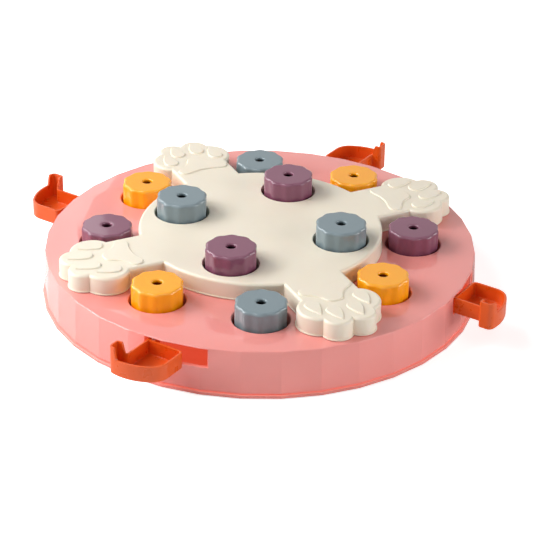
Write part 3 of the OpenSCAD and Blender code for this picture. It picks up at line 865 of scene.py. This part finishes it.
def fluted_plug_tree():
    """Geometry nodes that turn a half section about +Z, with flutes in its skin.
    The section's points hold radius, share of the flutes and height."""
    tree = bpy.data.node_groups.new("fluted_plug", "GeometryNodeTree")
    face = tree.interface
    face.new_socket("Section", in_out="INPUT", socket_type="NodeSocketGeometry")
    for name, kind in PLUG_INPUTS.items():
        face.new_socket(name, in_out="INPUT", socket_type=kind)
    face.new_socket("Plug", in_out="OUTPUT", socket_type="NodeSocketGeometry")
    given = add_node(tree, "NodeGroupInput").outputs
    columns = add_node(tree, "ShaderNodeMath", {0: given["Steps"], 1: 1.0}, operation="ADD")
    grid = add_node(
        tree,
        "GeometryNodeMeshGrid",
        {
            "Size X": 1.0,
            "Size Y": 1.0,
            "Vertices X": columns.outputs[0],
            "Vertices Y": given["Section points"],
        },
    )
    place = turned_section(tree, given)
    spun = add_node(
        tree,
        "GeometryNodeSetPosition",
        {"Geometry": grid.outputs["Mesh"], "Position": place.outputs[0]},
    )
    closed = add_node(
        tree, "GeometryNodeMergeByDistance", {"Geometry": spun.outputs[0], "Distance": 0.00001}
    )
    around = add_node(tree, "ShaderNodeCombineXYZ", {"Z": given["Turn"]})
    seated = add_node(
        tree,
        "GeometryNodeTransform",
        {"Geometry": closed.outputs[0], "Translation": given["Seat"], "Rotation": around.outputs[0]},
    )
    real = add_node(tree, "GeometryNodeRealizeInstances", {"Geometry": seated.outputs[0]})
    coated = add_node(
        tree,
        "GeometryNodeSetMaterial",
        {"Geometry": real.outputs[0], "Material": given["Material"]},
    )
    add_node(tree, "NodeGroupOutput", {"Plug": coated.outputs[0]})
    return tree


def turned_section(tree, given):
    """The place of each grid point: its row is a point of the section, its column
    an angle, and the flutes take their share off its radius."""
    math_node = "ShaderNodeMath"
    rows = given["Section points"]
    index = add_node(tree, "GeometryNodeInputIndex").outputs[0]
    row = add_node(tree, math_node, {0: index, 1: rows}, operation="MODULO")
    passed = add_node(tree, math_node, {0: index, 1: rows}, operation="DIVIDE")
    column = add_node(tree, math_node, {0: passed.outputs[0]}, operation="FLOOR")
    section = add_node(
        tree,
        "GeometryNodeSampleIndex",
        {
            "Geometry": given["Section"],
            "Value": add_node(tree, "GeometryNodeInputPosition").outputs[0],
            "Index": row.outputs[0],
        },
        data_type="FLOAT_VECTOR",
        domain="POINT",
    )
    part = add_node(tree, "ShaderNodeSeparateXYZ", {0: section.outputs[0]}).outputs
    share = add_node(tree, math_node, {0: column.outputs[0], 1: given["Steps"]}, operation="DIVIDE")
    turn = add_node(tree, math_node, {0: share.outputs[0], 1: 2 * math.pi}, operation="MULTIPLY")
    phase = add_node(tree, math_node, {0: turn.outputs[0], 1: given["Flutes"]}, operation="MULTIPLY")
    wave = add_node(tree, math_node, {0: phase.outputs[0]}, operation="COSINE")
    trough = add_node(tree, math_node, {0: 1.0, 1: wave.outputs[0]}, operation="SUBTRACT")
    hollow = add_node(tree, math_node, {0: trough.outputs[0], 1: 0.5}, operation="MULTIPLY")
    shared = add_node(tree, math_node, {0: hollow.outputs[0], 1: part["Y"]}, operation="MULTIPLY")
    depth = add_node(
        tree, math_node, {0: shared.outputs[0], 1: given["Flute depth"]}, operation="MULTIPLY"
    )
    radius = add_node(tree, math_node, {0: part["X"], 1: depth.outputs[0]}, operation="SUBTRACT")
    ways = []
    for side in ("COSINE", "SINE"):
        way = add_node(tree, math_node, {0: turn.outputs[0]}, operation=side)
        ways.append(
            add_node(tree, math_node, {0: radius.outputs[0], 1: way.outputs[0]}, operation="MULTIPLY")
        )
    return add_node(
        tree,
        "ShaderNodeCombineXYZ",
        {"X": ways[0].outputs[0], "Y": ways[1].outputs[0], "Z": part["Z"]},
    )


def bake_nodes(name, points, tree, values):
    """Runs a tree on a mesh of loose points and gives back a plain mesh object."""
    seed = bpy.data.meshes.new(name + "_section")
    seed.from_pydata([Vector(p) * MM for p in points], [], [])
    carrier = bpy.data.objects.new(name + "_carrier", seed)
    bpy.context.scene.collection.objects.link(carrier)
    modifier = carrier.modifiers.new("nodes", "NODES")
    modifier.node_group = tree
    sockets = {s.name: s.identifier for s in tree.interface.items_tree if s.in_out == "INPUT"}
    for key, value in values.items():
        modifier[sockets[key]] = value
    graph = bpy.context.evaluated_depsgraph_get()
    mesh = bpy.data.meshes.new_from_object(carrier.evaluated_get(graph), depsgraph=graph)
    bpy.data.objects.remove(carrier)
    bpy.data.meshes.remove(seed)
    mesh.name = name
    made = bpy.data.objects.new(name, mesh)
    bpy.context.scene.collection.objects.link(made)
    return made


def build_plug(node, tree, plastics):
    """A hollow fluted plug in its well."""
    pitch, angle, seat_z, colour = PLUGS[node]
    a = math.radians(angle)
    points = [(r, share / MM, z) for r, share, z in plug_section()]
    made = bake_nodes(
        node + "_skin",
        points,
        tree,
        {
            "Section points": len(points),
            "Steps": PLUG_STEPS,
            "Flutes": PLUG_FLUTES,
            "Flute depth": FLUTE_DEPTH * MM,
            "Seat": Vector((pitch * math.cos(a), pitch * math.sin(a), seat_z)) * MM,
            "Turn": math.radians(CREST_ANGLE),
            "Material": plastics[colour],
        },
    )
    finish_mesh(made, sharp=50)
    return made


# ---------------------------------------------------------------- trays


def between(a, b, count):
    """Points spaced evenly between two others, without them."""
    steps = [(i + 1) / (count + 1) for i in range(count)]
    return [(a[0] + (b[0] - a[0]) * f, a[1] + (b[1] - a[1]) * f) for f in steps]


def tray_path(inset):
    """A tray's plan with its hook, at a distance inside the outer face. Its own axes
    start on the hinge pin, with +X along the front wall."""
    reach = TRAY_REACH - inset
    front = TRAY_FRONT + inset
    low = HOOK_LOW + inset
    heel, foot = max(0.7 - inset, 0.15), 1.2
    nose, end = max(1.8 - inset, 0.3), max(3.5 - inset, 0.6)
    path = arc_points((TRAY_BACK + inset + heel, front + heel), heel, math.pi, 1.5 * math.pi, 5)
    root = (HOOK_X - foot, TRAY_FRONT - foot)
    path += between(path[-1], (root[0], front), 8)
    path += arc_points(root, foot + inset, 0.5 * math.pi, 0, 8)
    tip = (HOOK_X + inset + nose, low + nose)
    path += between(path[-1], (HOOK_X + inset, tip[1]), 8)
    path += arc_points(tip, nose, math.pi, 1.5 * math.pi, 8)
    last = (math.sqrt((reach - end) ** 2 - (low + end) ** 2), low + end)
    path += between(path[-1], (last[0], low), 4)
    leave = math.atan2(last[1], last[0])
    path += arc_points(last, end, -0.5 * math.pi, leave, 8)
    across = TRAY_REACH - TRAY_CORNER
    turn = math.asin((TRAY_SIDE - TRAY_CORNER) / across)
    path += arc_points((0, 0), reach, leave, math.radians(-3), 16)[1:]
    path += arc_points((0, 0), reach, math.radians(-3), turn, 24)[1:]
    corner = (across * math.cos(turn), across * math.sin(turn))
    path += arc_points(corner, TRAY_CORNER - inset, turn, 0.5 * math.pi, 16)[1:]
    inner = (TRAY_BACK + TRAY_BACK_CORNER, TRAY_SIDE - TRAY_BACK_CORNER)
    path += between(path[-1], (inner[0], TRAY_SIDE - inset), 6)
    path += arc_points(inner, TRAY_BACK_CORNER - inset, 0.5 * math.pi, math.pi, 10)
    return path + between(path[-1], path[0], 8)


def hook_share(y):
    """How much of the hook's rise the rim has: none at the tray, all at the hook."""
    f = min(max((-3.2 - y) / 2.2, 0.0), 1.0)
    return f * f * (3 - 2 * f)


def build_tray(node):
    """Tray with a rounded rim that climbs round the hook, and its hinge barrel."""
    angle = TRAYS[node]
    rise = [HOOK_RISE * hook_share(y) for x, y in tray_path(0)]
    # Each loop's height and inset, and whether it rises with the hook: outer foot,
    # rounded rim, and inner wall down to the floor
    levels = [(0.0, 0.7, 0), (0.06, 0.38, 0), (0.22, 0.12, 0), (0.6, 0.0, 0)]
    levels += [(TRAY_H - 0.45, 0.0, 1), (TRAY_H - 0.15, 0.1, 1), (TRAY_H, 0.42, 1)]
    levels += [(TRAY_H, 1.0, 1), (TRAY_H - 0.12, 1.38, 1), (TRAY_H - 0.45, TRAY_WALL, 1)]
    levels += [(TRAY_WALL + 1.0, TRAY_WALL, 0), (TRAY_WALL + 0.3, TRAY_WALL + 0.22, 0)]
    levels += [(TRAY_WALL, TRAY_WALL + 0.8, 0)]
    bm = bmesh.new()
    loops = []
    for z, inset, lifted in levels:
        loop = add_loop(bm, at_hinge(tray_path(inset), angle), TRAY_Z + z)
        for vert, lift in zip(loop, rise):
            vert.co.z += lift * lifted * MM
        loops.append(loop)
    for low, high in zip(loops, loops[1:]):
        bridge(bm, low, high)
    for end in (loops[0], loops[-1]):
        bmesh.ops.triangle_fill(bm, use_beauty=True, use_dissolve=False, edges=loop_edges(bm, end))
    add_barrel(bm, angle)
    return mesh_object(node + "_skin", bm)


def at_hinge(points, angle):
    """Points from a tray's own axes to its open place on the base."""
    return turned(turned(points, TRAY_REST), angle, PIN_PLACE)


def add_barrel(bm, angle):
    """Barrel bored for the pin, flat where it runs into the tray's wall."""
    skin = arc_points((0, 0), BARREL_R, 0.5 * math.pi, 1.5 * math.pi, 33)
    skin += [(TRAY_BACK + 0.3, TRAY_FRONT), (TRAY_BACK + 0.3, -TRAY_FRONT - 0.2)]
    hole = circle_points(PIN_HOLE_R, 32)
    ends = []
    for points in (skin, hole):
        low = add_loop(bm, at_hinge(points, angle), TRAY_Z)
        high = add_loop(bm, at_hinge(points, angle), TRAY_Z + TRAY_H)
        bridge(bm, low, high)
        ends.append((low, high))
    for i in (0, 1):
        rims = loop_edges(bm, ends[0][i]) + loop_edges(bm, ends[1][i])
        bmesh.ops.triangle_fill(bm, use_beauty=True, use_dissolve=False, edges=rims)


# ---------------------------------------------------------------- assembly


def give_material(piece, material):
    if not piece.data.materials:
        piece.data.materials.append(material)
    for i in range(len(piece.data.materials)):
        piece.data.materials[i] = material


def dress_fasteners(nodes, plastics):
    """Materials for the screws, pins, washer and feet, whose solids stay."""
    steel = zinc_plated_steel()
    for node in ("bottom_screws", "tray_hinge_pins", "turntable_screw"):
        give_material(nodes[node], steel)
    give_material(nodes["turntable_washer"], plastics["washer"])
    give_material(nodes["grip_feet"], soft_rubber())


def dress_base(nodes, plastics):
    """The base's two mouldings, with eased corners and a hollow with a faint painted glow."""
    for node, use in (("base_shell", "base"), ("bottom_plate", "plate")):
        skin = eased_copy(nodes[node], node + "_skin", CORNER_EASE)
        give_material(skin, plastics[use])
        line_cavity_painted_glow(skin, plastics["hollow"])
        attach(skin, "base")
        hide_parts(node)


def dress_trays(plastics):
    for node in TRAYS:
        tray = build_tray(node)
        give_material(tray, plastics["tray"])
        finish_mesh(tray)
        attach(tray, node)
        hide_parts(node)


def dress_turntable(plastics):
    turntable = build_turntable()
    give_material(turntable, plastics["turntable"])
    finish_mesh(turntable)
    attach(turntable, "turntable")
    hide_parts(*TURNTABLE_NODES)


def dress_plugs(plastics):
    tree = fluted_plug_tree()
    for node in PLUGS:
        plug = build_plug(node, tree, plastics)
        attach(plug, node)
        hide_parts(node)


def main():
    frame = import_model()
    bpy.context.scene.view_settings.view_transform = "Standard"
    add_camera()
    add_studio()
    plastics = {use: moulded_plastic(*look) for use, look in PLASTICS.items()}
    dress_fasteners(frame["nodes"], plastics)
    dress_base(frame["nodes"], plastics)
    dress_trays(plastics)
    dress_turntable(plastics)
    dress_plugs(plastics)


main()
